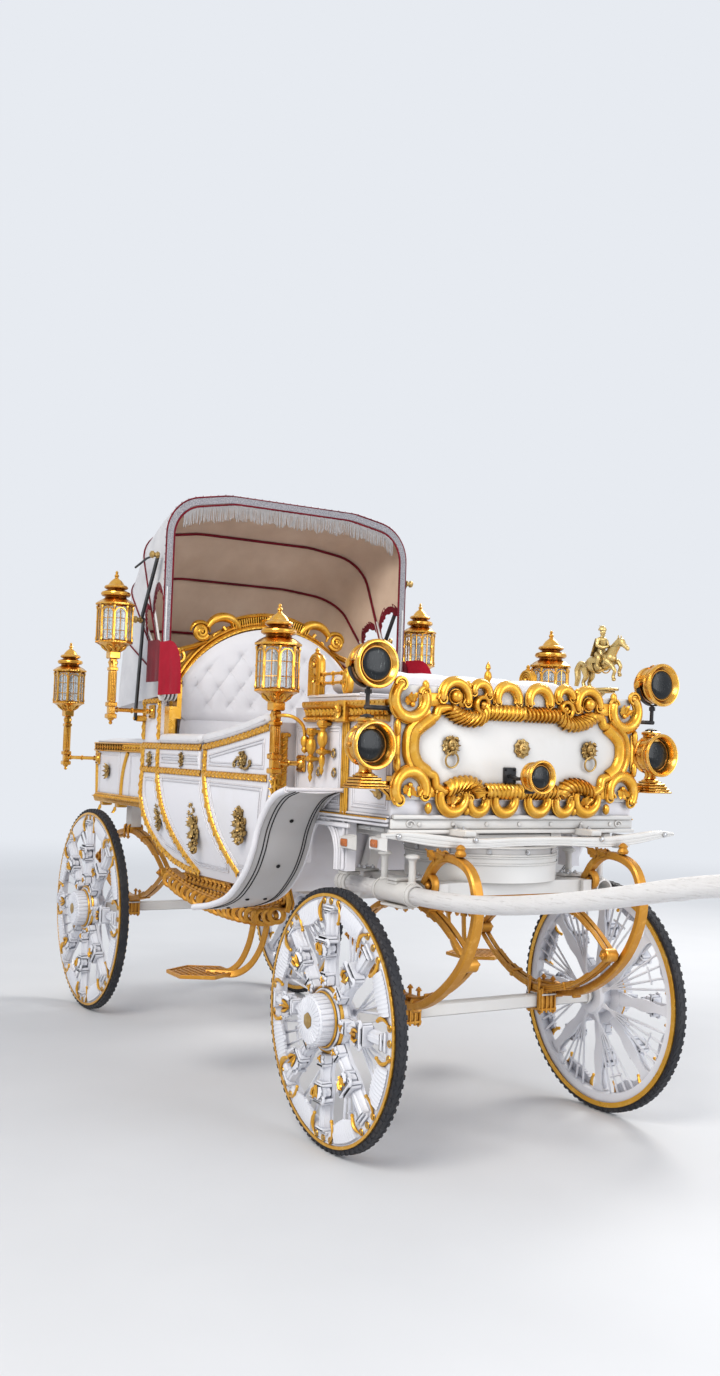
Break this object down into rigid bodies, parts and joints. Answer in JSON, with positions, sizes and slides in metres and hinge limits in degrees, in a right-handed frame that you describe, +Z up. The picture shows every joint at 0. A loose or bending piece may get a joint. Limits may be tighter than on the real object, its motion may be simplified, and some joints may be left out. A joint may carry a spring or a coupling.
{
  "type": "horse drawn carriage with a folding hood",
  "caption": "Open passenger carriage with a folding hood, raised driver's seat, spoked wheels and a steered forecarriage with one shaft.",
  "frame": {"origin": "middle of the carriage's length and width, on the ground under the wheels", "axes": "+X forward along the shaft, +Y to the carriage's left, +Z up"},
  "size_m": [5.5936, 1.984, 2.74],
  "materials": {
    "tyre_rubber": "solid rubber, dusty",
    "white_moulding": "white moulded resin",
    "white_steel": "brush painted white",
    "white_wood": "rough wood painted white",
    "white_body": "satin white body panels",
    "seat_cover": "buttoned white leathercloth",
    "lamp_glass": "clear glass",
    "hood_cloth": "coated cloth",
    "hood_frame": "cloth covered bow",
    "black_iron": "black forged iron",
    "gold_paint": "bright gold paint over carving"
  },
  "bodies": {
    "body": {"boot": "white_body", "boot_cornice": "gold_paint", "boot_skirts": "white_body", "centre_lamp": "gold_paint", "chassis": "gold_paint", "dash_frame": "gold_paint", "dash_panel": "white_body", "deck_trim": "gold_paint", "driver_cushion": "seat_cover", "driver_seat": "gold_paint", "footboard": "white_body", "headlamps": "gold_paint", "hood_bow_rear": "hood_frame", "hood_gore_rear": "hood_cloth", "hood_pillars": "gold_paint", "iron_roots": "gold_paint", "lamp_lenses": "lamp_glass", "lantern_glass": "lamp_glass", "lanterns": "gold_paint", "rear_axle": "white_steel", "rear_deck": "white_body", "rear_springs": "gold_paint", "seat_back": "seat_cover", "seat_box": "white_body", "seat_crest": "gold_paint", "seat_cushion": "seat_cover", "sill_carving": "gold_paint", "step_left": "gold_paint", "step_right": "gold_paint", "tub": "white_body", "tub_bands": "gold_paint", "turntable": "white_steel", "wing_left": "white_body", "wing_right": "white_body"},
    "forecarriage": {"fore_axle": "white_steel", "fore_springs": "gold_paint", "fore_scrolls": "gold_paint", "fore_frame": "white_steel", "shaft_sockets": "white_steel", "shaft_right": "white_wood"},
    "front_right_wheel": {"wheel_front_right": "white_moulding", "tyre_front_right": "tyre_rubber"},
    "front_left_wheel": {"wheel_front_left": "white_moulding", "tyre_front_left": "tyre_rubber"},
    "rear_right_wheel": {"wheel_rear_right": "white_moulding", "tyre_rear_right": "tyre_rubber"},
    "rear_left_wheel": {"wheel_rear_left": "white_moulding", "tyre_rear_left": "tyre_rubber"},
    "right_door": {"door_right": "white_body", "door_bands_right": "gold_paint"},
    "left_door": {"door_left": "white_body", "door_bands_left": "gold_paint"},
    "hood_3": {"hood_gore_3": "hood_cloth", "hood_bow_3": "hood_frame"},
    "hood_2": {"hood_gore_2": "hood_cloth", "hood_bow_2": "hood_frame"},
    "hood_1": {"hood_gore_1": "hood_cloth", "hood_bow_1": "hood_frame"},
    "irons_lower": {"hood_iron_lower": "black_iron"},
    "irons_upper": {"hood_iron_upper": "black_iron"}
  },
  "joints": [
    {"name": "steer", "type": "hinge", "parent": "body", "child": "forecarriage", "pos_m": [0.4931, 0, 1.05], "axis": [0, 0, 1], "range_deg": [-25, 25]},
    {"name": "front_right_spin", "type": "hinge", "parent": "forecarriage", "child": "front_right_wheel", "pos_m": [0.4931, -0.65, 0.48], "axis": [0, 1, 0], "continuous": true},
    {"name": "front_left_spin", "type": "hinge", "parent": "forecarriage", "child": "front_left_wheel", "pos_m": [0.4931, 0.65, 0.48], "axis": [0, 1, 0], "continuous": true},
    {"name": "rear_right_spin", "type": "hinge", "parent": "body", "child": "rear_right_wheel", "pos_m": [-2.2469, -0.65, 0.55], "axis": [0, 1, 0], "continuous": true},
    {"name": "rear_left_spin", "type": "hinge", "parent": "body", "child": "rear_left_wheel", "pos_m": [-2.2469, 0.65, 0.55], "axis": [0, 1, 0], "continuous": true},
    {"name": "right_door_swing", "type": "hinge", "parent": "body", "child": "right_door", "pos_m": [-0.7689, -0.674, 1.2], "axis": [0, 0, -1], "range_deg": [0, 75]},
    {"name": "left_door_swing", "type": "hinge", "parent": "body", "child": "left_door", "pos_m": [-0.7689, 0.674, 1.2], "axis": [0, 0, 1], "range_deg": [0, 75]},
    {"name": "hood_fold", "type": "hinge", "parent": "body", "child": "hood_3", "pos_m": [-1.2269, 0, 1.73], "axis": [0, -1, 0], "range_deg": [0, 18]},
    {"name": "hood_fold_2", "type": "hinge", "parent": "hood_3", "child": "hood_2", "pos_m": [-1.2269, 0, 1.73], "axis": [0, -1, 0], "range_deg": [0, 18]},
    {"name": "hood_fold_1", "type": "hinge", "parent": "hood_2", "child": "hood_1", "pos_m": [-1.2269, 0, 1.73], "axis": [0, -1, 0], "range_deg": [0, 22]},
    {"name": "iron_root", "type": "hinge", "parent": "body", "child": "irons_lower", "pos_m": [-1.5069, 0, 1.6], "axis": [0, -1, 0], "range_deg": [0, 74.2]},
    {"name": "iron_knee", "type": "hinge", "parent": "irons_lower", "child": "irons_upper", "pos_m": [-1.4469, 0, 2.097], "axis": [0, 1, 0], "range_deg": [0, 72]}
  ],
  "couplings": [
    {"joint": "hood_fold_2", "follows": "hood_fold", "ratio": 1},
    {"joint": "hood_fold_1", "follows": "hood_fold", "ratio": 1.2222},
    {"joint": "iron_root", "follows": "hood_fold", "ratio": 4.122},
    {"joint": "iron_knee", "follows": "hood_fold", "ratio": 4}
  ]
}
